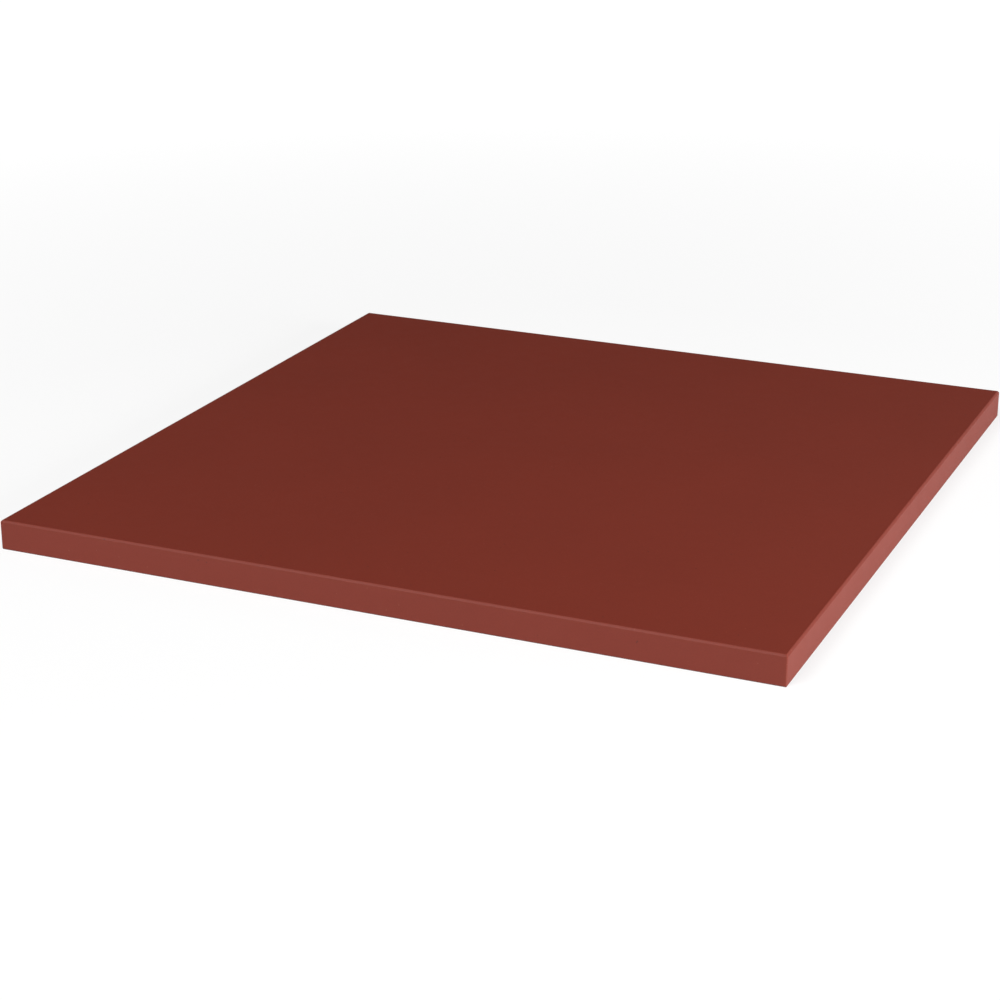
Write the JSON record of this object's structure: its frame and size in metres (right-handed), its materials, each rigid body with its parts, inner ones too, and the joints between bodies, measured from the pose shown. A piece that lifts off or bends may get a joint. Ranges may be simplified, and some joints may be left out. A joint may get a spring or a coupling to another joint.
{
  "type": "clinker tile",
  "caption": "Square unglazed red clinker floor tile with a smooth matt face, narrow bevelled edges and a ribbed keying back for adhesive.",
  "frame": {"origin": "centre of the tile's back, on the plane of its keying ribs", "axes": "+Z out of the walked-on face, +X along the length, +Y along the width"},
  "size_m": [0.294, 0.294, 0.011],
  "materials": {
    "clinker": "matte"
  },
  "bodies": {
    "root": {"tile": "clinker"}
  },
  "joints": []
}
